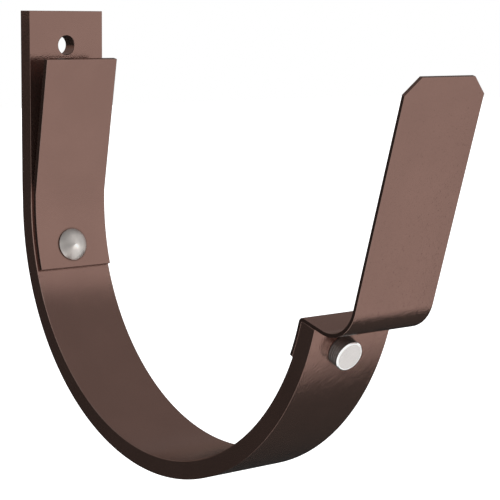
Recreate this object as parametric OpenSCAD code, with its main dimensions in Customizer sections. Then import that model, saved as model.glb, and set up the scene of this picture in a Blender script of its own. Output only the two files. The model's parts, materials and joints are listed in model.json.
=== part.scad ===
// Gutter bracket for a half-round gutter.
//
// A flat bar hangs on the wall by one screw and curls into the half-round seat
// that the gutter lies in.  Two bendable sheet clips hold the gutter down: a
// short leaf behind it and a long tongue in front of it.  One rivet holds each.
//
// Frame, in millimetres: the origin is the centre of the screw hole on the wall,
// +X runs along the gutter, +Y points into the wall and +Z points up.

/* [Gutter seat] */
// Outside diameter of the half-round gutter that the seat is bent to
gutter_d = 125; // [100:1:150]
// Height of the bar's top edge above the centre of the seat
back_rise = 56; // [53:0.5:90]
// Angle below horizontal at which the front limb ends
front_end_angle = 15.5; // [5:0.5:25]

/* [Flat bar] */
// Width of the bar, along the gutter
bar_w = 25; // [20:0.5:40]
// Thickness of the bar
bar_t = 5; // [4:0.25:8]
// Radius of the bar's rolled edges
bar_edge_r = 0.2; // [0.1:0.05:0.5]

/* [Screw hole] */
// Diameter of the hole for the wall screw
screw_hole_d = 5.5; // [4:0.1:7]
// Distance from the bar's top edge down to the centre of the hole
screw_drop = 10; // [8:0.5:12]

/* [Rear clip] */
// Thickness of the rear clip
rear_t = 1.8; // [1:0.1:2.5]
// How far each side of the rear clip is set in from the bar's side
rear_inset = 0.5; // [0:0.1:2]
// Angle that the rear clip's foot covers below the centre of the seat
rear_foot_angle = 18.3; // [17:0.1:24]
// Height above the centre of the seat at which the rear clip leaves the bar
rear_bend_rise = 2.2; // [1:0.1:6]
// Inside radius of the rear clip's bend
rear_bend_r = 6; // [2:0.5:10]
// Angle by which the rear clip's leaf leans away from the bar
rear_lean = 9.9; // [5:0.1:20]
// Length of the rear clip's leaf, from its bend to its top edge
rear_leaf_len = 39.5; // [20:0.5:42]

/* [Front clip] */
// Thickness of the front clip
front_t = 1; // [0.8:0.1:1.5]
// Length of the front clip's leg, down the bar's inner face
front_leg_len = 9.8; // [9:0.1:16]
// Inside radius of the front clip's bend over the end of the bar
front_hem_r = 0.5; // [0.3:0.1:1]
// Reach of the front clip's shelf, from the bar's inner face to the tongue
shelf_reach = 16; // [15:0.5:24]
// Inside radius of the bend between the shelf and the tongue
tongue_bend_r = 8.5; // [2:0.5:9]
// Angle by which the tongue leans outward from upright
tongue_lean = 16.3; // [0:0.1:30]
// Length of the tongue, from the shelf to its top edge
tongue_len = 65.3; // [30:0.1:90]
// Size of the chamfers on the tongue's top corners
tongue_chamfer = 4.2; // [2:0.1:8]

/* [Rivets] */
// Diameter of both rivets' shanks
shank_d = 4.5; // [4:0.1:5]
// Angle of the rear rivet below the centre of the seat
rear_rivet_angle = 12; // [11:0.1:13]
// Sideways place of the rear rivet from the middle of the bar
rear_rivet_x = -0.4; // [-3:0.1:3]
// Diameter of the rear rivet's domed head
rear_head_d = 9.3; // [8:0.1:10]
// Height of the rear rivet's domed head above the clip
rear_head_h = 2; // [1.2:0.1:3]
// Widest diameter of the rear rivet's flush tail, in the back of the bar
flush_tail_d = 8; // [6:0.1:9]
// Depth of the countersink that the flush tail fills
flush_tail_depth = 1.8; // [1:0.1:2.5]
// Distance of the front rivet below the end of the bar, along the seat
front_rivet_drop = 6.2; // [5.5:0.1:6.5]
// Sideways place of the front rivet from the middle of the bar
front_rivet_x = -2.1; // [-3:0.1:3]
// Diameter of the front rivet's outer head
front_head_d = 7.8; // [6:0.1:9]
// Height of the front rivet's outer head above the bar
front_head_h = 3.4; // [1.5:0.1:5]
// Chamfer round the end of the front rivet's outer head
front_head_edge = 0.25; // [0.1:0.05:0.5]
// Diameter of the front rivet's low inner head
inner_head_d = 7; // [6:0.1:7.5]
// Height of the front rivet's low inner head above the clip
inner_head_h = 1; // [0.8:0.1:1.5]
// Thickness of the domed heads at their rims
head_lip = 0.25; // [0.1:0.05:0.4]

/* [Hidden] */
$fn = 240;

paint_brown = [0.40, 0.31, 0.28];
bare_steel = [0.78, 0.77, 0.75];

// The seat: its inner face carries the gutter, its outer face is a bar's thickness out.
seat_r = gutter_d / 2;
seat_back_r = seat_r + bar_t;
seat_y = -seat_back_r;
seat_z = screw_drop - back_rise;

// Both clips lie inside the seat, so their inner faces have smaller radii.
rear_face_r = seat_r - rear_t;
front_face_r = seat_r - front_t;

// The front hem turns through the corner between the seat and the bar's end face.
hem_centre_r = seat_r + front_hem_r;
hem_angle = asin(front_hem_r / hem_centre_r);
front_leg_angle = front_leg_len / seat_r * 180 / PI;
front_rivet_angle = front_end_angle + front_rivet_drop / seat_r * 180 / PI;

// The tongue's bend starts and ends one setback away from the shelf's inner corner.
tongue_turn = 90 + front_end_angle - tongue_lean;
tongue_setback = tongue_bend_r * tan(tongue_turn / 2);
shelf_flat_len = seat_r + shelf_reach - tongue_setback - hem_centre_r * cos(hem_angle);
tongue_flat_len = tongue_len - tongue_setback;

// Cutting shapes run past what they cut.
past = 1;

// ---- Frames ----------------------------------------------------------------

// Moves children drawn about the centre of the seat to their place.
module about_seat() {
    translate([0, seat_y, seat_z]) children();
}

// Stands a side view up: x becomes the way to the wall, y up, z along the gutter.
module side_view() {
    rotate([90, 0, 90]) children();
}

// In a side view about the seat, puts x outward along the bar's end face and y
// away from the bar.
module at_bar_end() {
    rotate(180 + front_end_angle) mirror([0, 1, 0]) children();
}

// In the frame of the bar's end, puts the origin at the centre of the hem's bend.
module at_hem() {
    rotate(-hem_angle) translate([hem_centre_r, 0]) children();
}

// In the frame of the bar's end, puts the origin at the centre of the tongue's
// bend, with x outward along the shelf.
module at_tongue_bend() {
    at_hem() rotate(hem_angle)
        translate([shelf_flat_len, front_hem_r + front_t + tongue_bend_r]) children();
}

// In the same frame, puts x through the tongue and y up along it.
module at_tongue() {
    at_tongue_bend() rotate(tongue_turn - 90) translate([tongue_bend_r, 0]) children();
}

// Turns children drawn upright to point out of the seat's rear quarter.
module out_of_rear() {
    translate([rear_rivet_x, 0, 0]) rotate([-90 - rear_rivet_angle, 0, 0]) children();
}

// Turns children drawn upright to point out of the seat's front quarter.
module out_of_front() {
    translate([front_rivet_x, 0, 0]) rotate([90 + front_rivet_angle, 0, 0]) children();
}

// ---- Shapes ----------------------------------------------------------------

// What lies between the angles a0 and a1 and nearer than r to the origin.
module wedge(r, a0, a1) {
    intersection() {
        rotate(a0) translate([-r, 0]) square([2 * r, r]);
        rotate(a1) translate([-r, -r]) square([2 * r, r]);
    }
}

// Sheet of thickness t, bent round an inside radius between the angles a0 and a1.
module bent_sheet(r_inside, t, a0, a1) {
    intersection() {
        difference() {
            circle(r_inside + t);
            circle(r_inside);
        }
        wedge(2 * (r_inside + t), a0, a1);
    }
}

// The bar's cross-section at the seat's radius, with its edges rounded.
module bar_section() {
    edge_x = [seat_r + bar_edge_r, seat_back_r - bar_edge_r];
    edge_y = [bar_edge_r - bar_w / 2, bar_w / 2 - bar_edge_r];
    translate([seat_r, edge_y[0]]) square([bar_t, edge_y[1] - edge_y[0]]);
    translate([edge_x[0], -bar_w / 2]) square([edge_x[1] - edge_x[0], bar_w]);
    for (x = edge_x, y = edge_y)
        translate([x, y]) circle(bar_edge_r);
}

// A cylinder along the gutter that fills the seat out to radius r.
module seat_fill(r) {
    rotate([0, 90, 0]) cylinder(h = bar_w, r = r, center = true);
}

// A rivet's shank, or its hole, between two radii of the seat.
module shank(r_from, r_to) {
    translate([0, 0, r_from]) cylinder(h = r_to - r_from, d = shank_d);
}

// The countersunk tail that ends flush with the back of the bar.
module flush_tail() {
    depth = flush_tail_depth + past;
    end_d = shank_d + (flush_tail_d - shank_d) * depth / flush_tail_depth;
    translate([0, 0, seat_back_r - flush_tail_depth])
        cylinder(h = depth, d1 = shank_d, d2 = end_d);
}

// A domed head of diameter d and height h that seats on a hollow face of radius r.
module domed_head(r, d, h) {
    fall = r - sqrt(r * r - d * d / 4);
    dome_h = h - fall - head_lip;
    dome_r = (d * d / 4 + dome_h * dome_h) / (2 * dome_h);
    intersection() {
        translate([0, 0, r - h]) rotate_extrude() {
            intersection() {
                translate([0, dome_r]) circle(dome_r);
                square([d / 2, dome_h]);
            }
            translate([0, dome_h]) square([d / 2, h - dome_h + past]);
        }
        seat_fill(r);
    }
}

// A flat head of diameter d and height h that seats on a round face of radius r.
module flat_head(r, d, h, edge) {
    difference() {
        translate([0, 0, r - past]) {
            cylinder(h = h + past - edge, d = d);
            translate([0, 0, h + past - edge])
                cylinder(h = edge, d1 = d, d2 = d - 2 * edge);
        }
        seat_fill(r);
    }
}

// ---- Hook strap ------------------------------------------------------------

// The bar: straight up the wall, then bent round the seat to its front end.
module bent_bar() {
    rotate(90) linear_extrude(back_rise) bar_section();
    side_view() mirror([0, 1, 0])
        rotate_extrude(angle = 180 - front_end_angle) bar_section();
}

// What is taken off the end's inner edge, so that the front clip's hem seats on it.
module hem_relief() {
    side_view() linear_extrude(height = bar_w + 2 * past, center = true)
        at_bar_end() at_hem() difference() {
            wedge(3 * front_hem_r, 90 + hem_angle, 180);
            circle(front_hem_r);
        }
}

module hook_strap() {
    color(paint_brown) difference() {
        about_seat() difference() {
            bent_bar();
            hem_relief();
            out_of_rear() {
                shank(seat_r - past, seat_back_r - flush_tail_depth + past);
                flush_tail();
            }
            out_of_front() shank(seat_r - past, seat_back_r + past);
        }
        translate([0, past, 0]) rotate([90, 0, 0])
            cylinder(h = bar_t + 2 * past, d = screw_hole_d);
    }
}

// ---- Rear clip -------------------------------------------------------------

// Side view of the rear clip: foot on the seat, riser on the bar, leaning leaf.
module rear_clip_side() {
    bent_sheet(rear_face_r, rear_t, -rear_foot_angle, 0);
    translate([rear_face_r, 0]) square([rear_t, rear_bend_rise]);
    translate([rear_face_r - rear_bend_r, rear_bend_rise]) {
        bent_sheet(rear_bend_r, rear_t, 0, rear_lean);
        rotate(rear_lean) translate([rear_bend_r, 0]) square([rear_t, rear_leaf_len]);
    }
}

module rear_clip() {
    color(paint_brown) about_seat() difference() {
        side_view() linear_extrude(height = bar_w - 2 * rear_inset, center = true)
            rear_clip_side();
        out_of_rear() shank(rear_face_r - past, seat_r + past);
    }
}

// ---- Front clip ------------------------------------------------------------

// Side view of the front clip, in the frame of the bar's end: leg on the seat,
// hem over the bar's end, shelf along the end face, bend and tongue.
module front_clip_side() {
    rotate(-hem_angle)
        bent_sheet(front_face_r, front_t, hem_angle - front_leg_angle, 0);
    at_hem() {
        bent_sheet(front_hem_r, front_t, 90 + hem_angle, 180);
        rotate(hem_angle) translate([0, front_hem_r]) square([shelf_flat_len, front_t]);
    }
    at_tongue_bend() bent_sheet(tongue_bend_r, front_t, -90, tongue_turn - 90);
    at_tongue() square([front_t, tongue_flat_len]);
}

// The blocks that take the tongue's two top corners off.
module tongue_corners() {
    block = tongue_chamfer * sqrt(2);
    at_tongue() for (side = [-1, 1])
        translate([0, tongue_flat_len, side * bar_w / 2]) rotate([45, 0, 0])
            cube([2 * front_t + past, block, block], center = true);
}

module front_clip() {
    color(paint_brown) about_seat() difference() {
        side_view() at_bar_end() difference() {
            linear_extrude(height = bar_w, center = true) front_clip_side();
            tongue_corners();
        }
        out_of_front() shank(front_face_r - past, seat_r + past);
    }
}

// ---- Rivets ----------------------------------------------------------------

// Domed head on the rear clip, flush tail in the back of the bar.
module rear_rivet() {
    color(bare_steel) about_seat() out_of_rear() intersection() {
        union() {
            domed_head(rear_face_r, rear_head_d, rear_head_h);
            shank(rear_face_r - head_lip, seat_back_r - flush_tail_depth);
            flush_tail();
        }
        seat_fill(seat_back_r);
    }
}

// Low head on the front clip's leg, tall flat head outside the bar.
module front_rivet() {
    color(bare_steel) about_seat() out_of_front() {
        domed_head(front_face_r, inner_head_d, inner_head_h);
        shank(front_face_r - head_lip, seat_back_r + front_head_h / 2);
        flat_head(seat_back_r, front_head_d, front_head_h, front_head_edge);
    }
}

hook_strap();
rear_clip();
front_clip();
rear_rivet();
front_rivet();
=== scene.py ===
"""The looks of a riveted gutter bracket: a flat-bar hook, two sheet clips and two rivets.

Frame, in metres: the origin is the centre of the screw hole on the wall, +X runs along
the gutter, +Y points into the wall and +Z points up.  Sizes below are the bracket's own,
in millimetres where they carry MM; what the frame knows is read from the frame.
"""
import json
import logging
import math
from dataclasses import dataclass, field
from enum import Enum
from typing import Any, Callable, Iterable, Sequence

import bmesh
import bpy
from mathutils import Matrix, Vector


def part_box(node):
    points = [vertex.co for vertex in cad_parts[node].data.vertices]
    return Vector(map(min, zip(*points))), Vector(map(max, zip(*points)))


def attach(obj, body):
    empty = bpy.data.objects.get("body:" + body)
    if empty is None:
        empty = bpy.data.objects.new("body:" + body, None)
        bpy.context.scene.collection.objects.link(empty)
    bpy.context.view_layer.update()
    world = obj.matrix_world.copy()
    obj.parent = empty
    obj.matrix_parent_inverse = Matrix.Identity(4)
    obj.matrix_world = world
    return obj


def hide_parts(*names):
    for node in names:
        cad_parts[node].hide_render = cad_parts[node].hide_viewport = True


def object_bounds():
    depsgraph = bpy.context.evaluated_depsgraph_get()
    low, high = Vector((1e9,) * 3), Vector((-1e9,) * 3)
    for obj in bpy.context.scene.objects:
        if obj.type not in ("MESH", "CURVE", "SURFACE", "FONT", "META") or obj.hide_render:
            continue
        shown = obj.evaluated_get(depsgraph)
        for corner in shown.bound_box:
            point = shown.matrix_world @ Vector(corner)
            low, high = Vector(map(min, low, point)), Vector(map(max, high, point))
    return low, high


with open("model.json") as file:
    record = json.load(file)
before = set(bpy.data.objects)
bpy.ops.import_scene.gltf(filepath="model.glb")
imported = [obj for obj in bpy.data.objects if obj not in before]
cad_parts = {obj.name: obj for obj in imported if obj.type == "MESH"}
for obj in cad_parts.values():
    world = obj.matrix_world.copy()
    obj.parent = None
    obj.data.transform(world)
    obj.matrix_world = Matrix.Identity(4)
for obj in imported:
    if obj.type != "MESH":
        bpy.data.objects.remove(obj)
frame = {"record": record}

logging.basicConfig(level=logging.INFO, format="%(message)s")
log = logging.getLogger("gutter_bracket")

MM = 0.001
FAR = 1.0  # farther off than any point of the bracket
WELD = 1e-7  # points this near to each other are one
SPOT = 0.05 * MM  # a point this near to a corner is on it
EDGE = "edge"
CUT = "cut"
CAD_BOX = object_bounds()

Piece = bpy.types.Object
Material = bpy.types.Material
Colour = tuple[float, float, float]
Span = tuple[float, float]


# ---- Shader maths ----


class Wire:
    """A socket's output, with the arithmetic of Math nodes."""

    def __init__(self, graph: "Graph", socket: bpy.types.NodeSocket) -> None:
        """Wraps one output socket of a node graph."""
        self.graph = graph
        self.socket = socket

    def _math(self, operation: str, *values: "Wire | float") -> "Wire":
        """Adds one Math node, with its inputs in order."""
        return self.graph.node("Math", {"operation": operation}, dict(enumerate(values)))

    def __add__(self, other: "Wire | float") -> "Wire":
        """Sum."""
        return self._math("ADD", self, other)

    def __radd__(self, other: float) -> "Wire":
        """Sum with a number on the left."""
        return self._math("ADD", other, self)

    def __sub__(self, other: "Wire | float") -> "Wire":
        """Difference."""
        return self._math("SUBTRACT", self, other)

    def __rsub__(self, other: float) -> "Wire":
        """Difference from a number on the left."""
        return self._math("SUBTRACT", other, self)

    def __mul__(self, other: "Wire | float") -> "Wire":
        """Product."""
        return self._math("MULTIPLY", self, other)

    def __rmul__(self, other: float) -> "Wire":
        """Product with a number on the left."""
        return self._math("MULTIPLY", other, self)

    def __truediv__(self, other: "Wire | float") -> "Wire":
        """Quotient."""
        return self._math("DIVIDE", self, other)

    def __pow__(self, other: "Wire | float") -> "Wire":
        """Power."""
        return self._math("POWER", self, other)

    def sine(self) -> "Wire":
        """Sine of an angle in radians."""
        return self._math("SINE", self)

    def around(self, other: "Wire") -> "Wire":
        """Angle, in radians, of the point whose height is this and whose reach is other."""
        return self._math("ARCTAN2", self, other)

    def larger(self, other: "Wire | float") -> "Wire":
        """The larger of two values."""
        return self._math("MAXIMUM", self, other)

    def ramp(self, low: float, high: float) -> "Wire":
        """Rises smoothly from 0 at low, and below it, to 1 at high, and above it."""
        return self.graph.node("MapRange", {"interpolation_type": "SMOOTHSTEP"},
                               {0: self, 1: low, 2: high, 3: 0.0, 4: 1.0})


Value = Wire | float | Sequence[float]


class Graph:
    """A material's or world's node tree, built from plain calls."""

    def __init__(self, tree: bpy.types.NodeTree) -> None:
        """Empties a node tree and takes it over."""
        self.tree = tree
        tree.nodes.clear()

    def node(self, kind: str, settings: dict[str, Any] | None = None,
             inputs: dict[int | str, Value] | None = None, output: int | str = 0) -> Wire | None:
        """Adds a node of any type.

        Args:
            kind: the node's type name, without its first word, ShaderNode.
            settings: its properties, set before its sockets.
            inputs: values or wires for its input sockets, by index or name.
            output: which output to return.

        Returns:
            The chosen output, or None for a node that has no outputs.
        """
        node = self.tree.nodes.new("ShaderNode" + kind)
        for key, value in (settings or {}).items():
            setattr(node, key, value)
        for key, value in (inputs or {}).items():
            if isinstance(value, Wire):
                self.tree.links.new(value.socket, node.inputs[key])
            else:
                node.inputs[key].default_value = value
        return Wire(self, node.outputs[output]) if len(node.outputs) else None

    def vector(self, operation: str, inputs: dict[int | str, Value],
               output: str = "Vector") -> Wire:
        """Adds one Vector Math node and gives the chosen output."""
        return self.node("VectorMath", {"operation": operation}, inputs, output)

    def mix_colour(self, factor: Value, first: Value, second: Value) -> Wire:
        """Mixes two colours with alpha: a factor of 0 gives the first and 1 the second."""
        inputs = {0: factor, 6: first, 7: second}
        return self.node("Mix", {"data_type": "RGBA"}, inputs, output=2)

    def attribute(self, name: str) -> Wire:
        """Reads a value that is stored on the mesh under a name."""
        return self.node("Attribute", {"attribute_name": name}, output="Fac")

    def object_point(self, place: Matrix | None = None) -> Wire:
        """Reads the point being shaded, in the piece's own frame or in another.

        Args:
            place: the other frame, which is moved and turned about X, or None.

        Returns:
            The point as a vector.
        """
        point = self.node("TexCoord", output="Object")
        if place is None:
            return point
        local = self.vector("SUBTRACT", {0: point, 1: place.translation})
        turn = (-place.to_euler().x, 0.0, 0.0)
        return self.node("Mapping", None, {"Vector": local, "Rotation": turn})

    def along(self, point: Wire, axis: int) -> Wire:
        """A point's place along one axis: 0 for X, 1 for Y and 2 for Z."""
        return self.node("SeparateXYZ", None, {0: point}, output=axis)

    def radius(self, point: Wire) -> Wire:
        """A point's distance from its Z axis."""
        flat = self.vector("MULTIPLY", {0: point, 1: (1.0, 1.0, 0.0)})
        return self.vector("LENGTH", {0: flat}, "Value")

    def noise(self, point: Wire, scale: float, detail: float = 2.0) -> Wire:
        """Fractal noise from 0 to 1, with scale cells in one unit and detail octaves."""
        inputs = {"Vector": point, "Scale": scale, "Detail": detail}
        return self.node("TexNoise", None, inputs)

    def bump(self, height: Wire, depth: float) -> Wire:
        """Turns a height into a normal, where a height of 1 is depth metres deep."""
        inputs = {"Height": height, "Distance": depth, "Strength": 1.0}
        return self.node("Bump", None, inputs)


# ---- Finishes ----


def opaque(colour: Colour) -> tuple[float, float, float, float]:
    """A colour with full alpha."""
    return (*colour, 1.0)


def new_material(name: str) -> tuple[Material, Graph]:
    """Makes an empty node material.

    Args:
        name: the material's name.

    Returns:
        The material and its graph.
    """
    material = bpy.data.materials.new(name)
    material.use_nodes = True
    return material, Graph(material.node_tree)


def surface(graph: Graph, kind: str, inputs: dict[int | str, Value]) -> None:
    """Ends a material's graph in one shader, named without its first word, ShaderNode."""
    shader = graph.node(kind, None, inputs)
    graph.node("OutputMaterial", None, {"Surface": shader})


@dataclass(frozen=True)
class BrownCoat:
    """Satin brown powder coat with a metallic effect and a fine sandy texture.

    Each rivet head that meets the coat is given by its frame and its radius, and gets a
    thin ring of painted shade round it, a painted contact shadow, on the side of the seat
    that its Z axis points to.
    """

    heads: tuple[tuple[Matrix, float], ...]
    colour: Colour = (0.256, 0.151, 0.125)
    edge_tint: Colour = (0.69, 0.62, 0.60)
    metallic: float = 0.87
    specular: float = 0.3
    roughness: float = 0.16
    cloud_rough: float = 0.05
    grain_rough: float = 0.06
    grain_per_m: float = 2800.0
    grain_depth: float = 0.036 * MM
    grain_ramp: Span = (0.35, 0.65)
    peel_per_m: float = 420.0
    peel_depth: float = 0.012 * MM
    cloud_per_m: float = 60.0
    cloud_ramp: Span = (0.3, 0.7)
    cloud_share: float = 0.65
    mottle: float = 0.05
    worn_highlight_colour: Colour = (0.40, 0.32, 0.28)
    wear_and_highlight: float = 0.25
    rub_per_m: float = 300.0
    rub_ramp: Span = (0.25, 0.6)
    cut_painted_shade: float = 0.4
    contact_shade: float = 0.45
    contact_shade_width: float = 0.7 * MM
    contact_shade_side: float = 10.0 * MM

    def make(self) -> Material:
        """Builds the material.

        Returns:
            The material, to be shared by every coated piece.
        """
        material, graph = new_material("brown_coat")
        point = graph.object_point()
        grain = graph.noise(point, self.grain_per_m, detail=0.0)
        peel = graph.noise(point, self.peel_per_m, detail=1.0)
        cloud = graph.noise(point, self.cloud_per_m, detail=3.0)
        dark, light = (opaque(tuple(part * (1 + share) for part in self.colour))
                       for share in (-self.mottle, self.mottle))
        patches = (self.cloud_share * cloud.ramp(*self.cloud_ramp)
                   + (1 - self.cloud_share) * grain.ramp(*self.grain_ramp))
        coat = graph.mix_colour(patches, dark, light)
        # Rubbed edges and painted highlight: the rounded edges turn lighter in patches.
        rubs = graph.noise(point, self.rub_per_m, detail=3.0).ramp(*self.rub_ramp)
        worn_and_highlight = graph.attribute(EDGE) * self.wear_and_highlight * rubs
        coat = graph.mix_colour(worn_and_highlight, coat, opaque(self.worn_highlight_colour))
        # Painted shade: the clips' sheared faces are darkened.
        painted_shade_factor = 1 - self.cut_painted_shade * graph.attribute(CUT)
        # Painted shade: a dark ring round each rivet head, a painted contact shadow on the coat.
        for place, radius in self.heads:
            local = graph.object_point(place)
            outward = graph.along(local, 2).ramp(0.0, self.contact_shade_side)
            near = 1 - graph.radius(local).ramp(radius, radius + self.contact_shade_width)
            painted_shade_factor = painted_shade_factor * (1 - self.contact_shade * near * outward)
        rough = self.cloud_rough * (cloud - 0.5) + self.grain_rough * (grain - 0.5)
        surface(graph, "BsdfPrincipled", {
            "Base Color": graph.vector("SCALE", {0: coat, "Scale": painted_shade_factor}),
            "Metallic": self.metallic,
            "Roughness": self.roughness + rough,
            "Specular IOR Level": self.specular,
            "Specular Tint": opaque(self.edge_tint),
            "Normal": graph.bump(grain * self.grain_depth + peel * self.peel_depth, 1.0),
        })
        return material


@dataclass(frozen=True)
class LightSector:
    """A soft wedge round a rivet's axis, of painted highlight, or of painted shade if its gain is
    negative.

    Its middle points toward an angle in degrees, a higher narrowness makes it slimmer,
    and gain says how much lighter it is, or how much duller if negative.
    """

    toward: float
    narrowness: float
    gain: float

    def shade(self, angle: Wire, share: Wire | float = 1.0) -> Wire:
        """The factor on the tone at an angle in radians, with a share of the effect."""
        facing = (angle - (math.radians(self.toward) - math.pi / 2)).sine() * 0.5 + 0.5
        return 1 + self.gain * share * facing ** self.narrowness


@dataclass(frozen=True)
class TurnedSteel:
    """Bare steel with the fine rings that turning leaves round a rivet's axis.

    Wedges of painted highlight and painted shade lie round the axis, with a spot of painted
    highlight near it.  The sides of a tall head are painted dark between two heights, a
    painted shade in bands by the ribs, below a rim of painted highlight.  A height or radius
    that is FAR leaves the painted side shade or the painted rim highlight out.
    """

    name: str
    axis: Matrix
    colour: Colour = (0.76, 0.725, 0.705)
    roughness: float = 0.17
    ring_pitch: float = 0.16 * MM
    ring_depth: float = 0.0015 * MM
    ring_tone: float = 0.06
    drift: float = 0.5
    drift_per_m: float = 900.0
    plain_tone: float = 0.90
    smudge_tone: float = 0.08
    smudge_rough: float = 0.08
    smudge_per_m: float = 350.0
    smudge_ramp: Span = (0.3, 0.7)
    light_sectors: tuple[LightSector, ...] = ()
    painted_glint: LightSector | None = None
    painted_glint_fade: Span = (0.3 * MM, 2.2 * MM)
    side_shade_colour: Colour = (0.045, 0.037, 0.032)
    side_shade_rough: float = 0.30
    side_shade_from: float = FAR
    side_shade_to: float = 2 * FAR
    side_shade_fade: Span = (0.1 * MM, 0.06 * MM)
    rib_pitch: float = 1.0 * MM
    rib_ramp: Span = (0.0, 0.25)
    highlight_rim_from: float = FAR
    highlight_rim_fade: float = 0.1 * MM
    rim_highlight_gain: float = 0.5

    def make(self) -> Material:
        """Builds the material.

        Returns:
            The material, its rings centred on the rivet's axis.
        """
        material, graph = new_material(self.name)
        point = graph.object_point(self.axis)
        radius = graph.radius(point)
        wander = self.drift * graph.noise(point, self.drift_per_m)
        rings = ((radius / self.ring_pitch + wander) * math.tau).sine() * 0.5 + 0.5
        smudge = graph.noise(point, self.smudge_per_m, detail=3.0)
        tone = (self.plain_tone + self.smudge_tone * smudge.ramp(*self.smudge_ramp)
                + self.ring_tone * rings)
        x, y, z = (graph.along(point, axis) for axis in range(3))
        angle = y.around(x)
        # Painted highlight and painted shade: the tone turns lighter or duller by the angle round
        # the axis.
        for light_sector in self.light_sectors:
            tone = tone * light_sector.shade(angle)
        if self.painted_glint is not None:
            tone = tone * self.painted_glint.shade(angle, 1 - radius.ramp(*self.painted_glint_fade))
        # Painted highlight: a lighter rim round the edge of a flat head's end.
        rim = radius.ramp(self.highlight_rim_from - self.highlight_rim_fade, self.highlight_rim_from)
        tone = tone * (1 + self.rim_highlight_gain * rim)
        # Painted shade: the head's side is painted dark between two heights, in bands by the ribs,
        # and made rough and not metallic there.
        ribs = ((z - self.side_shade_from) * (math.tau / self.rib_pitch)).sine().ramp(*self.rib_ramp)
        begin, end = self.side_shade_fade
        dark = (ribs * z.ramp(self.side_shade_from - begin, self.side_shade_from)
                * (1 - z.ramp(self.side_shade_to - end, self.side_shade_to)))
        bare = graph.vector("SCALE", {0: self.colour, "Scale": tone})
        surface(graph, "BsdfPrincipled", {
            "Base Color": graph.mix_colour(dark, bare, opaque(self.side_shade_colour)),
            "Metallic": 1.0 - dark,
            "Roughness": (self.roughness + self.smudge_rough * (smudge - 0.5)
                          + self.side_shade_rough * dark),
            "Normal": graph.bump(rings, self.ring_depth),
        })
        return material


# ---- Workshop: modelling by hand ----


def deselect_all() -> None:
    """Leaves edit mode and deselects every object."""
    if bpy.context.object and bpy.context.object.mode != "OBJECT":
        bpy.ops.object.mode_set(mode="OBJECT")
    bpy.ops.object.select_all(action="DESELECT")


def take(piece: Piece) -> None:
    """Makes one object the only selected and active one.

    Args:
        piece: the object.
    """
    deselect_all()
    piece.select_set(True)
    bpy.context.view_layer.objects.active = piece


def settle(piece: Piece) -> Piece:
    """Puts an object's place, turn and size into its mesh, and returns the object."""
    take(piece)
    bpy.ops.object.transform_apply(location=True, rotation=True, scale=True)
    return piece


def begin_piece(name: str, size: Sequence[float] = (1.0, 1.0)) -> Piece:
    """Names the primitive just added and gives it its width and height.

    Args:
        name: the piece's name.
        size: factors on its width and height.

    Returns:
        The piece, settled.
    """
    piece = bpy.context.object
    piece.name = piece.data.name = name
    piece.scale = (*size, 1.0)
    return settle(piece)


def bevel_edges(piece: Piece, offset: float, segments: int,
                wanted: Callable[[Vector, Vector], bool]) -> None:
    """Bevels the edges whose two ends pass a test, in edit mode.

    Args:
        piece: the mesh object, in edit mode.
        offset: the bevel's size, in metres.
        segments: the number of facets across it.
        wanted: a test of an edge's two end points, in metres.
    """
    bpy.ops.mesh.select_mode(type="EDGE")
    bpy.ops.mesh.select_all(action="DESELECT")
    mesh = bmesh.from_edit_mesh(piece.data)
    for edge in mesh.edges:
        edge.select_set(wanted(edge.verts[0].co, edge.verts[1].co))
    mesh.select_flush_mode()
    bmesh.update_edit_mesh(piece.data)
    bpy.ops.mesh.bevel(offset=offset, segments=segments, affect="EDGES")
    bpy.ops.mesh.select_mode(type="FACE")


def apply_modifier(piece: Piece, kind: str, **settings: Any) -> None:
    """Adds a modifier, sets it and applies it.

    Args:
        piece: the object.
        kind: the modifier's type.
        settings: its properties.
    """
    take(piece)
    modifier = piece.modifiers.new(kind.lower(), kind)
    for key, value in settings.items():
        setattr(modifier, key, value)
    bpy.ops.object.modifier_apply(modifier=modifier.name)


def cut(piece: Piece, tool: Piece) -> None:
    """Cuts a tool's shape out of a piece and throws the tool away."""
    apply_modifier(piece, "BOOLEAN", object=tool, operation="DIFFERENCE", solver="EXACT")
    bpy.data.objects.remove(tool, do_unlink=True)


def ease_edges(piece: Piece, radius: float, steps: int = 3, sharp: float = 32.0) -> None:
    """Rounds every sharp edge, keeps the flats flat in shading and marks the roundings.

    The roundings' faces go to a second material slot for as long as it takes to keep a
    value of 1 along the middle of each, for the rubbed paint and the painted edge highlight
    to follow.

    Args:
        piece: the object.
        radius: the size of the rounding, in metres.
        steps: the number of facets across a rounding.
        sharp: edges that turn by more than this, in degrees, are rounded.
    """
    take(piece)
    mesh, angle = piece.data, math.radians(sharp)
    bpy.ops.object.shade_smooth_by_angle(angle=angle)
    for _ in range(2):
        mesh.materials.append(None)
    apply_modifier(piece, "BEVEL", width=radius, segments=steps, limit_method="ANGLE",
                   angle_limit=angle, use_clamp_overlap=False, harden_normals=True, material=1)
    values = [1.0] * len(mesh.vertices)
    for face in mesh.polygons:
        if face.material_index == 0:
            for corner in face.vertices:
                values[corner] = 0.0
        face.material_index = 0
    mesh.attributes.new(EDGE, "FLOAT", "POINT").data.foreach_set("value", values)


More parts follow.
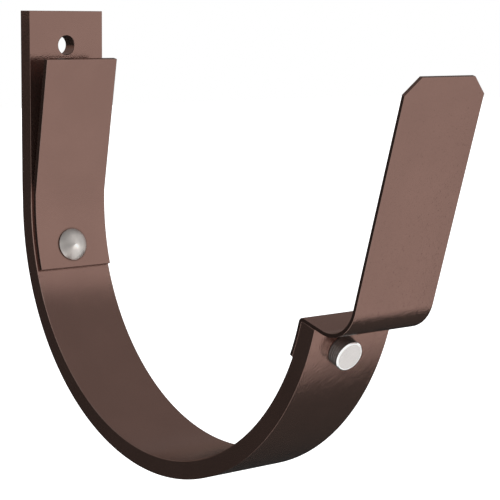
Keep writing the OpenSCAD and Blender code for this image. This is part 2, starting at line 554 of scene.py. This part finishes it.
def mark_cuts(piece: Piece, directions: Iterable[Vector], facing: float = 0.97,
              depth: float = MM) -> None:
    """Marks a sheet's sheared faces, which the coat darkens with painted shade.

    Only faces at the sheet's very end on their own side are cuts: a bent part of the
    sheet may face the same way further in.

    Args:
        piece: the sheet, which lies across the X axis.
        directions: the ways that its sheared ends and corners face.
        facing: the least cosine between a cut's normal and its way.
        depth: how far in from the sheet's end a cut may lie, in metres.
    """
    ways = [Vector((1.0, 0.0, 0.0)), Vector((-1.0, 0.0, 0.0)), *directions]
    ends = [max(vertex.co.dot(way) for vertex in piece.data.vertices) - depth for way in ways]
    values = [float(any(face.normal.dot(way) > facing and face.center.dot(way) > end
                        for way, end in zip(ways, ends)))
              for face in piece.data.polygons]
    piece.data.attributes.new(CUT, "FLOAT", "FACE").data.foreach_set("value", values)


class Work:
    """A piece whose present end is extruded on and on, in edit mode."""

    def __init__(self, name: str, size: Sequence[float] = (1.0, 1.0)) -> None:
        """Takes the flat primitive just added as the first end.

        Args:
            name: the piece's name.
            size: factors on the primitive's width and height.
        """
        self.piece = begin_piece(name, size)
        bpy.ops.object.mode_set(mode="EDIT")
        bpy.ops.mesh.select_all(action="SELECT")

    def extrude(self, move: Sequence[float]) -> None:
        """Extrudes the present end by a move, in metres."""
        bpy.ops.mesh.extrude_region_move(TRANSFORM_OT_translate={"value": move})

    def close(self) -> Piece:
        """Welds doubles and points the faces outward.

        Returns:
            The piece, in object mode.
        """
        bpy.ops.mesh.select_all(action="SELECT")
        bpy.ops.mesh.remove_doubles(threshold=WELD)
        bpy.ops.mesh.normals_make_consistent(inside=False)
        bpy.ops.object.mode_set(mode="OBJECT")
        return self.piece


class Strip(Work):
    """A flat strip that is fed and bent in side view, as on a bending bench.

    The strip's cross-section starts as a plane and is extruded along its path: straight
    with feed, and round a centre with bend.  The path is the middle of the thickness.
    """

    def __init__(self, name: str, width: float, thickness: float, start: Vector,
                 heading: float) -> None:
        """Lays the strip's first cross-section.

        Args:
            name: the piece's name.
            width: width along X, in metres.
            thickness: thickness, in metres.
            start: the middle of the first cross-section.
            heading: the way the strip is fed, in degrees from +Y towards +Z.
        """
        deselect_all()
        bpy.ops.mesh.primitive_plane_add(
            size=1.0, location=start, rotation=(math.radians(heading - 90.0), 0.0, 0.0))
        super().__init__(name, (width, thickness))
        self.place = start.copy()
        self.heading = heading

    @property
    def way(self) -> Vector:
        """The unit vector along the strip's present heading."""
        angle = math.radians(self.heading)
        return Vector((0.0, math.cos(angle), math.sin(angle)))

    def feed(self, length: float, steps: int = 1) -> None:
        """Extrudes the strip straight on.

        Args:
            length: how far, in metres.
            steps: the number of cross-sections on the way.
        """
        for _ in range(steps):
            self.extrude(self.way * (length / steps))
        self.place += self.way * length

    def bend(self, angle: float, radius: float, steps: int) -> None:
        """Bends the strip round a centre beside it.

        Args:
            angle: the turn in degrees, positive from +Y towards +Z.
            radius: from the centre to the middle of the thickness, in metres.
            steps: the number of cross-sections round the bend.
        """
        side = Vector((0.0, -self.way.z, self.way.y)) * math.copysign(1.0, angle)
        centre = self.place + side * radius
        turn = math.radians(angle)
        bpy.ops.mesh.spin(steps=steps, angle=-turn, center=centre, axis=(1.0, 0.0, 0.0))
        self.place = centre + Matrix.Rotation(turn, 3, "X") @ (self.place - centre)
        self.heading += angle


class Turning(Work):
    """A round piece turned about its own Z axis, ring by ring, and then put in place."""

    def __init__(self, name: str, radius: float, height: float, facets: int = 96) -> None:
        """Starts from a flat disc.

        Args:
            name: the piece's name.
            radius: the disc's radius, in metres.
            height: its height along the axis, in metres.
            facets: the number of sides.
        """
        deselect_all()
        bpy.ops.mesh.primitive_circle_add(
            vertices=facets, radius=radius, fill_type="NGON", location=(0.0, 0.0, height))
        super().__init__(name)
        self.radius, self.height = radius, height

    def rings(self, *profile: Span) -> "Turning":
        """Extrudes the present end from ring to ring.

        Args:
            profile: the rings' radii and heights, in metres.

        Returns:
            The turning itself.
        """
        for radius, height in profile:
            self.extrude((0.0, 0.0, height - self.height))
            factor = radius / self.radius
            if not math.isclose(factor, 1.0):
                bpy.ops.transform.resize(value=(factor, factor, 1.0),
                                         center_override=(0.0, 0.0, height))
            self.radius, self.height = radius, height
        return self

    def seat_at(self, place: Matrix) -> Piece:
        """Closes the mesh and puts the piece in place.

        Args:
            place: the piece's place and turn.

        Returns:
            The piece, in object mode.
        """
        piece = self.close()
        piece.matrix_world = place
        return settle(piece)


def drill(piece: Piece, place: Matrix, radius: float, low: float, high: float) -> None:
    """Cuts a round hole.

    Args:
        piece: what is drilled.
        place: the hole's frame, with the hole along its Z axis.
        radius: the hole's radius, in metres.
        low: where the drill starts along the axis.
        high: where it ends.
    """
    cut(piece, Turning("drill", radius, low).rings((radius, high)).seat_at(place))


def dress(piece: Piece, material: Material, slot: str, *nodes: str) -> Piece:
    """Gives a piece its finish and its place in the frame.

    Args:
        piece: the finished piece.
        material: its material.
        slot: the record's material slot, which is not used.
        nodes: the CAD nodes that it stands for.

    Returns:
        The same piece.
    """
    piece.data.materials.clear()
    piece.data.materials.append(material)
    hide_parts(*nodes)
    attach(piece, "root")
    return piece


# ---- The bracket ----


@dataclass(frozen=True)
class Seat:
    """The half-round seat, about whose centre the bar and both clips are bent.

    It also holds the sizes that two pieces share: the rivets' places and shanks, the
    rear rivet's tail and the front clip's leg and hem.
    """

    centre: Vector
    inner_r: float
    outer_r: float
    bar_w: float
    bar_top: float
    front_end: float = 15.5
    shank_r: float = 2.25 * MM
    tail_r: float = 4.0 * MM
    tail_depth: float = 1.8 * MM
    rear_rivet: float = 12.0
    rear_rivet_x: float = -0.4 * MM
    front_rivet_drop: float = 6.2 * MM
    front_rivet_x: float = -2.1 * MM
    front_leg: float = 9.8 * MM
    hem_r: float = 0.5 * MM

    @classmethod
    def from_frame(cls) -> "Seat":
        """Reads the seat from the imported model's mounts and the hook's box.

        Returns:
            The seat.
        """
        centre = Vector(mount("gutter_seat")["pos_m"])
        bar_t = mount("screw_hole")["dims"]["length_mm"] * MM
        low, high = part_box("hook_strap")
        outer_r = -centre.y
        return cls(centre, outer_r - bar_t, outer_r, high.x - low.x, high.z)

    @property
    def bar_t(self) -> float:
        """Thickness of the bar."""
        return self.outer_r - self.inner_r

    @property
    def front_rivet(self) -> float:
        """Angle of the front rivet below horizontal, in degrees."""
        return self.front_end + math.degrees(self.front_rivet_drop / self.inner_r)

    @property
    def rear_axis(self) -> Matrix:
        """The rear rivet's frame, its Z axis out through the bar."""
        return self.outward(-self.rear_rivet, self.rear_rivet_x)

    @property
    def front_axis(self) -> Matrix:
        """The front rivet's frame, its Z axis out through the bar."""
        return self.outward(180.0 + self.front_rivet, self.front_rivet_x)

    def at(self, radius: float, angle: float) -> Vector:
        """A point at X = 0, at a radius and an angle in degrees from +Y towards +Z."""
        turn = math.radians(angle)
        return self.centre + Vector((0.0, math.cos(turn), math.sin(turn))) * radius

    def outward(self, angle: float, x: float) -> Matrix:
        """A frame on the seat's axis at x, whose Z axis points out at an angle in degrees."""
        return (Matrix.Translation(self.centre + Vector((x, 0.0, 0.0)))
                @ Matrix.Rotation(math.radians(angle - 90.0), 4, "X"))

    def spoke(self, point: Vector) -> Vector:
        """The arm from the seat's axis to a point, square to the axis."""
        return Vector((0.0, point.y - self.centre.y, point.z - self.centre.z))


def mount(name: str) -> dict[str, Any]:
    """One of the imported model's mounts, by name."""
    return next(entry for entry in frame["record"]["mounts"] if entry["name"] == name)


Corner = tuple[Vector, float]


@dataclass
class HookStrap:
    """The flat bar: straight up the wall, then bent round the seat to its front end.

    Its edges are rounded, and then some are made sharper: their points are drawn towards
    the sharp corner, down to a share of their distance from it.
    """

    seat: Seat
    coat: Material
    leg_steps: int = 28
    arc_steps: int = 122
    hem_steps: int = 6
    edge_r: float = 0.3 * MM
    sharp_share: float = 0.2
    leg_taper: float = 6.0 * MM
    limb_taper: float = 30.0 * MM
    outline_share: float = 0.95
    bent_facing: float = 0.9999

    def build(self) -> Piece:
        """Bends, drills and coats the bar.

        Returns:
            The finished piece.
        """
        seat = self.seat
        middle = (seat.inner_r + seat.outer_r) / 2
        start = Vector((0.0, -seat.bar_t / 2, seat.bar_top))
        strip = Strip("hook_bar", seat.bar_w, seat.bar_t, start, -90.0)
        strip.feed(seat.bar_top - seat.centre.z, self.leg_steps)
        strip.bend(seat.front_end - 180.0, middle, self.arc_steps)
        self.relieve_end(strip.piece)
        piece = strip.close()
        self.drill_holes(piece)
        ease_edges(piece, self.edge_r)
        for corner_of in (self.leg_corner, self.covered_corner(piece), self.limb_corner):
            self.sharpen(piece, corner_of)
        self.round_shading(piece)
        return dress(piece, self.coat, "brown_paint", "hook_strap")

    def relieve_end(self, piece: Piece) -> None:
        """Rounds the front end's inner edge, where the front clip's hem turns.

        Args:
            piece: the bar, in edit mode.
        """
        corner = self.seat.at(self.seat.inner_r, 180.0 + self.seat.front_end)

        def on_corner(*ends: Vector) -> bool:
            """Whether an edge lies on the end's inner corner."""
            return all(math.hypot(end.y - corner.y, end.z - corner.z) < SPOT for end in ends)

        bevel_edges(piece, self.seat.hem_r, self.hem_steps, on_corner)

    def drill_holes(self, piece: Piece) -> None:
        """Drills the screw hole, both rivet holes and the rear rivet's countersink.

        Args:
            piece: the bar.
        """
        seat, hole = self.seat, mount("screw_hole")
        into_wall = Matrix.Translation(hole["pos_m"]) @ Matrix.Rotation(-math.pi / 2, 4, "X")
        drill(piece, into_wall, hole["dims"]["r_mm"] * MM, -2 * seat.bar_t, seat.bar_t)
        near, far = seat.inner_r - MM, seat.outer_r + MM
        for axis in (seat.front_axis, seat.rear_axis):
            drill(piece, axis, seat.shank_r, near, far)
        flare = (seat.tail_r - seat.shank_r) / seat.tail_depth
        sink = Turning("countersink", seat.shank_r, seat.outer_r - seat.tail_depth)
        sink.rings((seat.tail_r + flare * MM, far))
        cut(piece, sink.seat_at(seat.rear_axis))

    @property
    def side(self) -> float:
        """Half of the bar's width."""
        return self.seat.bar_w / 2

    @property
    def reach(self) -> float:
        """How far the points of a rounding lie from its sharp corner at most."""
        return 1.5 * self.edge_r

    def sharpen(self, piece: Piece, corner_of: Callable[[Vector], Corner]) -> None:
        """Draws in the rounding of some of the edges.

        Args:
            piece: the bar, its edges already eased.
            corner_of: gives a point's sharp corner and how far the point is drawn to it,
                from 0, or less, for not at all, to 1.
        """
        for vertex in piece.data.vertices:
            corner, drawn = corner_of(vertex.co)
            if drawn > 0:
                vertex.co = corner + (vertex.co - corner) * (1 - (1 - self.sharp_share) * drawn)

    def leg_corner(self, point: Vector) -> Corner:
        """The sharp corner beside a point of the straight leg, which the bench doesn't rub.

        Args:
            point: a point of the bar.

        Returns:
            The corner, and how far the point is drawn to it.
        """
        seat = self.seat
        face = 0.0 if point.y > -seat.bar_t / 2 else -seat.bar_t
        corner = Vector((math.copysign(self.side, point.x), face, point.z))
        offset = point - corner
        near = max(abs(offset.x), abs(offset.y)) < self.reach
        return corner, min(1.0, (point.z - seat.centre.z) / self.leg_taper) if near else 0.0

    def limb_corner(self, point: Vector) -> Corner:
        """The sharp corner beside a point of the outer edges round the seat's front half.

        Args:
            point: a point of the bar.

        Returns:
            The corner, and how far the point is drawn to it.
        """
        spoke = self.seat.spoke(point)
        corner = self.seat.centre + spoke.normalized() * self.seat.outer_r
        corner.x = math.copysign(self.side, point.x)
        near = spoke.z < 0 and (point - corner).length < self.reach
        return corner, min(1.0, 0.5 - spoke.y / self.limb_taper) if near else 0.0

    def covered_corner(self, piece: Piece) -> Callable[[Vector], Corner]:
        """Finds the outline that the front clip covers, so that both sides end flush.

        Args:
            piece: the bar, its edges already eased.

        Returns:
            A function that gives the outline's corner beside a point, and how far the
            point is drawn to it.
        """
        seat, side, reach = self.seat, self.side, self.reach
        covered = math.radians(seat.front_end) + seat.front_leg / seat.inner_r

        def inset(point: Vector) -> float:
            """How far a point of the covered corner lies in from the bar's side."""
            arm = -seat.spoke(point)
            near = arm.y > 0 and math.atan2(arm.z, arm.y) < covered
            inner = arm.length < seat.outer_r - reach
            return side - abs(point.x) if near and inner else math.inf

        rounding = [vertex.co.copy() for vertex in piece.data.vertices if inset(vertex.co) < reach]
        deepest = max(inset(point) for point in rounding)
        outline = [point for point in rounding if inset(point) > self.outline_share * deepest]

        def corner_of(point: Vector) -> Corner:
            """The outline's corner beside a point, and how far the point is drawn to it."""
            if inset(point) >= reach:
                return point, 0.0
            corner = min(outline, key=lambda spot: (spot - point).length).copy()
            corner.x = math.copysign(side, corner.x)
            return corner, 1.0

        return corner_of

    def round_shading(self, piece: Piece) -> None:
        """Shades the bent faces as true cylinders, so that no facet shows beside a hole.

        Args:
            piece: the bar, its edges already eased.
        """
        mesh, seat = piece.data, self.seat
        normals = [Vector(corner.vector) for corner in mesh.corner_normals]
        for face in mesh.polygons:
            arm = seat.spoke(face.center)
            facing = face.normal.dot(arm.normalized())
            if arm.z > 0 or abs(facing) < self.bent_facing:
                continue
            for corner in face.loop_indices:
                spoke = seat.spoke(mesh.vertices[mesh.loops[corner].vertex_index].co)
                normals[corner] = spoke.normalized() * math.copysign(1.0, facing)
        mesh.normals_split_custom_set(normals)


@dataclass
class SheetClip:
    """What both clips share: a bent sheet that lies in the seat and is riveted there."""

    seat: Seat
    coat: Material
    thickness: float
    edge_r: float

    @property
    def face_r(self) -> float:
        """Radius of the clip's inner face."""
        return self.seat.inner_r - self.thickness

    def complete(self, strip: Strip, axis: Matrix, cuts: Iterable[Vector], node: str) -> Piece:
        """Drills and coats the bent sheet.

        Args:
            strip: the sheet, in edit mode.
            axis: the rivet's frame.
            cuts: the ways that the sheared ends and corners face.
            node: the CAD node that the clip stands for.

        Returns:
            The finished piece.
        """
        piece = strip.close()
        drill(piece, axis, self.seat.shank_r, self.face_r - MM, self.seat.inner_r + MM)
        ease_edges(piece, self.edge_r)
        mark_cuts(piece, cuts)
        return dress(piece, self.coat, "brown_paint", node)


@dataclass
class RearClip(SheetClip):
    """The thick clip behind the gutter: foot on the seat, riser on the bar, leaning leaf."""

    thickness: float = 1.8 * MM
    edge_r: float = 0.16 * MM
    inset: float = 0.5 * MM
    foot_angle: float = 18.3
    foot_steps: int = 25
    bend_rise: float = 2.2 * MM
    bend_r: float = 6.0 * MM
    bend_steps: int = 10
    lean: float = 9.9
    leaf_len: float = 39.5 * MM

    def build(self) -> Piece:
        """Bends, drills and coats the clip.

        Returns:
            The finished piece.
        """
        seat = self.seat
        middle = seat.inner_r - self.thickness / 2
        strip = Strip("rear_leaf_clip", seat.bar_w - 2 * self.inset, self.thickness,
                      seat.at(middle, -self.foot_angle), 90.0 - self.foot_angle)
        foot = -strip.way
        strip.bend(self.foot_angle, middle, self.foot_steps)
        strip.feed(self.bend_rise)
        strip.bend(self.lean, self.bend_r + self.thickness / 2, self.bend_steps)
        strip.feed(self.leaf_len)
        return self.complete(strip, seat.rear_axis, (foot, strip.way), "rear_clip")


@dataclass
class FrontClip(SheetClip):
    """The thin clip in front: leg on the seat, hem over the bar's end, shelf and tongue."""

    thickness: float = 1.0 * MM
    edge_r: float = 0.09 * MM
    leg_steps: int = 12
    hem_steps: int = 14
    shelf_reach: float = 16.0 * MM
    bend_r: float = 8.5 * MM
    bend_steps: int = 36
    lean: float = 16.3
    tongue_len: float = 65.3 * MM
    chamfer: float = 4.2 * MM

    def build(self) -> Piece:
        """Bends, trims, drills and coats the clip.

        Returns:
            The finished piece.
        """
        seat = self.seat
        half = self.thickness / 2
        hem_centre = seat.inner_r + seat.hem_r
        hem_turn = math.asin(seat.hem_r / hem_centre)
        hem_angle = math.degrees(hem_turn)
        leg_angle = math.degrees(seat.front_leg / seat.inner_r)
        tongue_turn = 90.0 + seat.front_end - self.lean
        setback = self.bend_r * math.tan(math.radians(tongue_turn / 2))
        shelf = seat.inner_r + self.shelf_reach - setback - hem_centre * math.cos(hem_turn)
        foot = 180.0 + seat.front_end + leg_angle
        middle = seat.inner_r - half
        strip = Strip("front_tongue_clip", seat.bar_w, self.thickness, seat.at(middle, foot),
                      foot - 90.0)
        strip.bend(hem_angle - leg_angle, middle, self.leg_steps)
        strip.bend(90.0 - hem_angle, seat.hem_r + half, self.hem_steps)
        strip.feed(shelf)
        strip.bend(-tongue_turn, self.bend_r + half, self.bend_steps)
        strip.feed(self.tongue_len - setback)
        self.trim_corners(strip)
        corners = [(strip.way + Vector((side, 0.0, 0.0))).normalized() for side in (1.0, -1.0)]
        return self.complete(strip, seat.front_axis, (strip.way, *corners), "front_clip")

    def trim_corners(self, strip: Strip) -> None:
        """Takes the tongue's two top corners off at 45 degrees.

        Args:
            strip: the clip, in edit mode and fed to its full length.
        """
        side, top, way = self.seat.bar_w / 2, strip.place, strip.way

        def on_corner(first: Vector, second: Vector) -> bool:
            """Whether an edge runs through the sheet at a top corner."""
            at_top = all(abs(abs(end.x) - side) < SPOT and abs((end - top).dot(way)) < SPOT
                         for end in (first, second))
            return at_top and first.x * second.x > 0

        bevel_edges(strip.piece, self.chamfer, 1, on_corner)


@dataclass
class RearRivet:
    """The rear rivet: a shallow domed head in the seat and a flush tail behind the bar."""

    seat: Seat
    clip_face_r: float
    head_r: float = 4.65 * MM
    head_h: float = 2.0 * MM
    lip: float = 0.25 * MM
    undercut: float = 0.13 * MM
    dome_rings: int = 24
    dome_cone: float = 0.55
    cone_power: float = 1.25
    rim_power: float = 4.0
    tip_share: float = 0.012
    edge_r: float = 0.06 * MM

    def build(self) -> Piece:
        """Turns, seats and finishes the rivet.

        Returns:
            The finished piece.
        """
        seat, face = self.seat, self.clip_face_r
        fall = face - math.sqrt(face ** 2 - self.head_r ** 2)
        dome_h = self.head_h - fall - self.lip
        rim = face - self.head_h + dome_h
        shares = [1.0 - step / self.dome_rings for step in range(1, self.dome_rings)]
        turning = Turning("domed_rivet", seat.tail_r, seat.outer_r)
        turning.rings(
            (seat.shank_r, seat.outer_r - seat.tail_depth),
            (seat.shank_r, face),
            (self.head_r - self.undercut, face),
            (self.head_r, face - self.undercut),
            (self.head_r, rim),
            *((self.head_r * share, rim - dome_h * self.rise(share)) for share in shares),
            (self.head_r * self.tip_share, rim - dome_h))
        piece = turning.seat_at(seat.rear_axis)
        ease_edges(piece, self.edge_r, steps=2, sharp=40.0)
        # The dome's wedges and the spot near its axis are painted highlight and painted shade.
        steel = TurnedSteel(
            "turned_steel_dome", seat.rear_axis, colour=(0.60, 0.56, 0.53), roughness=0.34,
            ring_depth=0.012 * MM, painted_glint=LightSector(75.0, 1.0, 0.7),
            light_sectors=(LightSector(52.0, 16.0, 0.45), LightSector(138.0, 14.0, 0.70), LightSector(160.0, 9.0, -0.40),
                     LightSector(195.0, 3.0, -0.28), LightSector(-100.0, 2.0, 0.42),
                     LightSector(-30.0, 5.0, -0.30)))
        return dress(piece, steel.make(), "bare_steel", "rear_rivet")

    def rise(self, share: float) -> float:
        """How high the dome is at a share of its radius: a soft cone inside a round rim."""
        return (1.0 - self.dome_cone * share ** self.cone_power
                - (1.0 - self.dome_cone) * share ** self.rim_power)


@dataclass
class FrontRivet:
    """The front rivet: a tall flat head outside the bar and a low head inside the leg."""

    seat: Seat
    clip_face_r: float
    head_r: float = 3.9 * MM
    head_h: float = 3.4 * MM
    head_edge: float = 0.25 * MM
    head_sink: float = 0.2 * MM
    rim_highlight_width: float = 0.45 * MM
    inner_r: float = 3.5 * MM
    inner_h: float = 1.0 * MM
    inner_rings: int = 9
    inner_round: float = 2.2
    inner_lip: float = 0.2
    tip_share: float = 0.02
    ribs: int = 5
    rib_depth: float = 0.24 * MM
    rib_land: float = 0.04 * MM
    rib_start: float = 0.1 * MM
    edge_r: float = 0.03 * MM

    def build(self) -> Piece:
        """Turns, seats and finishes the rivet.

        Returns:
            The finished piece.
        """
        seat, face = self.seat, self.clip_face_r
        end = seat.outer_r + self.head_h
        under = seat.outer_r - self.head_sink
        shares = [step / self.inner_rings for step in range(1, self.inner_rings)]
        turning = Turning("flat_rivet", self.inner_r * self.tip_share, face - self.inner_h)
        turning.rings(
            *((self.inner_r * share, face - self.inner_h * (1.0 - share ** self.inner_round))
              for share in shares),
            (self.inner_r, face - self.inner_lip * self.inner_h),
            (self.inner_r, face),
            (seat.shank_r, face),
            (seat.shank_r, under),
            (self.head_r, under))
        first = seat.outer_r - self.rib_start
        pitch = (end - self.head_edge - first) / self.ribs
        land = self.rib_land / 2
        for crest in (first + rib * pitch for rib in range(self.ribs)):
            turning.rings((self.head_r, crest - land), (self.head_r, crest + land),
                          (self.head_r - self.rib_depth, crest + pitch / 2))
        turning.rings((self.head_r, end - self.head_edge), (self.head_r - self.head_edge, end))
        piece = turning.seat_at(seat.front_axis)
        ease_edges(piece, self.edge_r, steps=2, sharp=40.0)
        steel = TurnedSteel(
            "turned_steel_flat", seat.front_axis, side_shade_from=first, side_shade_to=end - self.head_edge,
            rib_pitch=pitch, highlight_rim_from=self.head_r - self.rim_highlight_width)
        return dress(piece, steel.make(), "bare_steel", "front_rivet")


# ---- The studio ----


WHITE = (1.0, 1.0, 1.0)
COOL = (0.85, 1.0, 1.0)
WARM = (1.0, 0.86, 0.77)
FLAT = (0.0, 0.0, 0.0)
UPRIGHT = (math.pi / 2, 0.0, 0.0)
ASIDE = (math.pi / 2, 0.0, math.pi / 2)


@dataclass(frozen=True)
class Fade:
    """A smooth change of level, from first to last, between two places on an axis."""

    axis: int
    places: Span
    first: float
    last: float


class Tone(Enum):
    """The plain tones of the studio's cards: radiance, tint and a change of level, if any."""

    CEILING = (0.368, WHITE, None)
    WALL_HIGH = (0.374, WHITE, None)
    WALL_BACK = (0.34, WARM, Fade(2, (0.1, 0.9), 0.7, 1.0))
    WALL_LOW = (0.041, COOL, None)
    TABLE = (0.105, COOL, Fade(1, (0.0, 1.1), 1.0, 0.4))

    def finish(self) -> Material:
        """Makes the cards' material.

        Returns:
            The material, which only glows.
        """
        material, graph = new_material("card_" + self.name.lower())
        level, tint, fade = self.value
        if fade is not None:
            spread = graph.along(graph.object_point(), fade.axis).ramp(*fade.places)
            level = level * (fade.first + (fade.last - fade.first) * spread)
        surface(graph, "Emission", {"Color": opaque(tint), "Strength": level})
        return material


@dataclass(frozen=True)
class Lamp:
    """A large soft lamp, which lights what isn't metal."""

    name: str
    offset: tuple[float, float, float]
    size: float
    power: float

    def hang(self, centre: Vector) -> None:
        """Hangs the lamp at its offset, facing the bracket.

        Args:
            centre: the bracket's centre.
        """
        data = bpy.data.lights.new(self.name, "AREA")
        data.size, data.energy = self.size, self.power
        lamp = bpy.data.objects.new(self.name, data)
        bpy.context.scene.collection.objects.link(lamp)
        offset = Vector(self.offset)
        lamp.location = centre + offset
        lamp.rotation_mode = "QUATERNION"
        lamp.rotation_quaternion = (-offset).to_track_quat("-Z", "Y")
        lamp.visible_glossy = False
        lamp.visible_camera = False


@dataclass
class Studio:
    """White floor and background, plain cards round the bracket, soft lamps and camera."""

    centre: Vector
    azimuth: float = -38.637
    elevation: float = 8.016
    roll: float = 0.5225
    lens: float = 122.48
    eye: Vector = field(default_factory=lambda: Vector((-271.62, -431.98, 10.62)) * MM)
    clip: Span = (0.01, 50.0)
    background: float = 1.0
    fill: float = 0.55
    floor_size: float = 40.0
    floor_greys: Span = (0.80, 0.84)
    floor_specks: float = 3.0
    floor_drop: float = 1.3
    floor_glow: float = 0.52
    reach: float = 2.6
    card_gap: float = 1.0
    wall_split: float = 0.115
    disc_facets: int = 96
    disc_edge: float = 30.0
    disc_lift: float = 1.01
    table_edge: float = 0.035
    table_skew: float = 29.5
    left_start: float = 1.0
    right_start: float = 0.6
    lamps: tuple[Lamp, ...] = (
        Lamp("key_lamp", (0.9, -1.6, 1.1), 1.6, 5.0),
        Lamp("fill_lamp", (-1.4, -1.0, 0.8), 1.4, 4.0),
    )

    def build(self) -> None:
        """Sets up the view, the background, the floor, the cards and the lamps."""
        bpy.context.scene.view_settings.view_transform = "Standard"
        self.place_camera()
        self.paint_world()
        self.lay_floor()
        self.hang_cards()
        for lamp in self.lamps:
            lamp.hang(self.centre)

    def place_camera(self) -> None:
        """Puts the camera at the viewing angle."""
        place = Matrix.Translation(self.eye)
        turns = ((self.azimuth, "Z"), (90.0 - self.elevation, "X"), (self.roll, "Z"))
        for angle, axis in turns:
            place = place @ Matrix.Rotation(math.radians(angle), 4, axis)
        data = bpy.data.cameras.new("camera")
        data.lens = self.lens
        data.clip_start, data.clip_end = self.clip
        camera = bpy.data.objects.new("camera", data)
        bpy.context.scene.collection.objects.link(camera)
        camera.matrix_world = place
        bpy.context.scene.camera = camera

    def paint_world(self) -> None:
        """White background for what the eye, metal and glass see, and a soft fill light."""
        world = bpy.data.worlds.new("studio")
        world.use_nodes = True
        bpy.context.scene.world = world
        graph = Graph(world.node_tree)
        strength = self.fill + (self.background - self.fill) * self.seen_directly(graph)
        inputs = {"Color": opaque(WHITE), "Strength": strength}
        background = graph.node("Background", None, inputs)
        graph.node("OutputWorld", None, {"Surface": background})

    @staticmethod
    def seen_directly(graph: Graph) -> Wire:
        """A mask of the camera's own rays and of those that mirror or pass through.

        Args:
            graph: the graph to work in.

        Returns:
            1 for camera, glossy and transmission rays and 0 for the rest.
        """
        camera, glossy, through = (
            graph.node("LightPath", output=f"Is {kind} Ray")
            for kind in ("Camera", "Glossy", "Transmission"))
        return camera.larger(glossy).larger(through)

    @staticmethod
    def panel(name: str, size: Sequence[float], place: Vector, turn: Sequence[float] = FLAT,
              facets: int | None = None) -> Piece:
        """Makes a flat panel that isn't part of the bracket.

        Args:
            name: the panel's name.
            size: its width and height, in metres.
            place: its middle.
            turn: its Euler angles, in radians.
            facets: the number of sides of a round panel, or None for a square one.

        Returns:
            The panel.
        """
        deselect_all()
        if facets is None:
            bpy.ops.mesh.primitive_plane_add(size=1.0, location=place, rotation=turn)
        else:
            bpy.ops.mesh.primitive_circle_add(
                vertices=facets, radius=0.5, fill_type="NGON", location=place, rotation=turn)
        panel = begin_piece(name, size)
        return panel

    def lay_floor(self) -> None:
        """Lays a plain pale floor well below the bracket, which keeps its soft shadow."""
        place = self.centre - Vector((0.0, 0.0, self.floor_drop))
        floor = self.panel("floor", (self.floor_size, self.floor_size), place)
        material, graph = new_material("white_floor")
        specks = graph.noise(graph.object_point(), self.floor_specks)
        greys = (opaque((grey, grey, grey)) for grey in self.floor_greys)
        paint = {"Color": graph.mix_colour(specks, *greys)}
        diffuse = graph.node("BsdfDiffuse", None, paint)
        camera = graph.node("LightPath", output="Is Camera Ray")
        glow = graph.node("Emission", None, {
            "Strength": self.floor_glow * (self.seen_directly(graph) + camera)})
        surface(graph, "AddShader", {0: diffuse, 1: glow})
        floor.data.materials.append(material)

    def hang_cards(self) -> None:
        """Hangs the toned cards that the bracket mirrors above, behind and below it."""
        gap, reach, split = self.card_gap, self.reach, self.wall_split
        skew = (0.0, 0.0, -math.radians(self.table_skew))
        aslant = Matrix.Rotation(skew[2], 3, "Z") @ Vector((0.0, self.table_edge + reach, -gap))
        across = 2 * gap / math.tan(math.radians(self.disc_edge))
        high, low = gap - split, gap + split
        high_z, low_z = (gap + split) / 2, (split - gap) / 2
        cards = [
            ("ceiling", Tone.CEILING, (2 * reach, reach), (0.0, reach / 2, gap), FLAT),
            ("table", Tone.TABLE, (4 * reach, 2 * reach), aslant, skew),
            ("back_high", Tone.WALL_BACK, (2 * reach, high), (0.0, reach, high_z), UPRIGHT),
            ("back_low", Tone.WALL_LOW, (2 * reach, low), (0.0, reach, low_z), UPRIGHT),
        ]
        sides = (("right", reach, self.right_start), ("left", -reach, self.left_start))
        for side, x, start in sides:
            deep, y = reach - start, (reach + start) / 2
            cards += [(f"{side}_high", Tone.WALL_HIGH, (deep, high), (x, y, high_z), ASIDE),
                      (f"{side}_low", Tone.WALL_LOW, (deep, low), (x, y, low_z), ASIDE)]
        hung = [(self.panel("card_" + name, size, self.centre + Vector(place), turn), tone)
                for name, tone, size, place, turn in cards]
        over = self.centre + Vector((0.0, 0.0, self.disc_lift * gap))
        disc = self.panel("disc_ceiling", (across, across), over, facets=self.disc_facets)
        hung.append((disc, Tone.CEILING))
        finishes = {tone: tone.finish() for tone in Tone}
        for card, tone in hung:
            card.data.materials.append(finishes[tone])
            for ray in ("camera", "diffuse", "transmission", "shadow"):
                setattr(card, "visible_" + ray, False)


# ---- Making ----


def main() -> None:
    """Builds the studio and the bracket, piece by piece."""
    seat = Seat.from_frame()
    low, high = CAD_BOX
    Studio((low + high) / 2).build()
    heads = ((seat.rear_axis, RearRivet.head_r), (seat.front_axis, FrontRivet.head_r))
    coat = BrownCoat(heads).make()
    rear, front = RearClip(seat, coat), FrontClip(seat, coat)
    rivets = (RearRivet(seat, rear.face_r), FrontRivet(seat, front.face_r))
    for part in (HookStrap(seat, coat), rear, front, *rivets):
        piece = part.build()
        log.info("%s: %d faces", piece.name, len(piece.data.polygons))
    deselect_all()


if __name__ == "__main__":
    main()
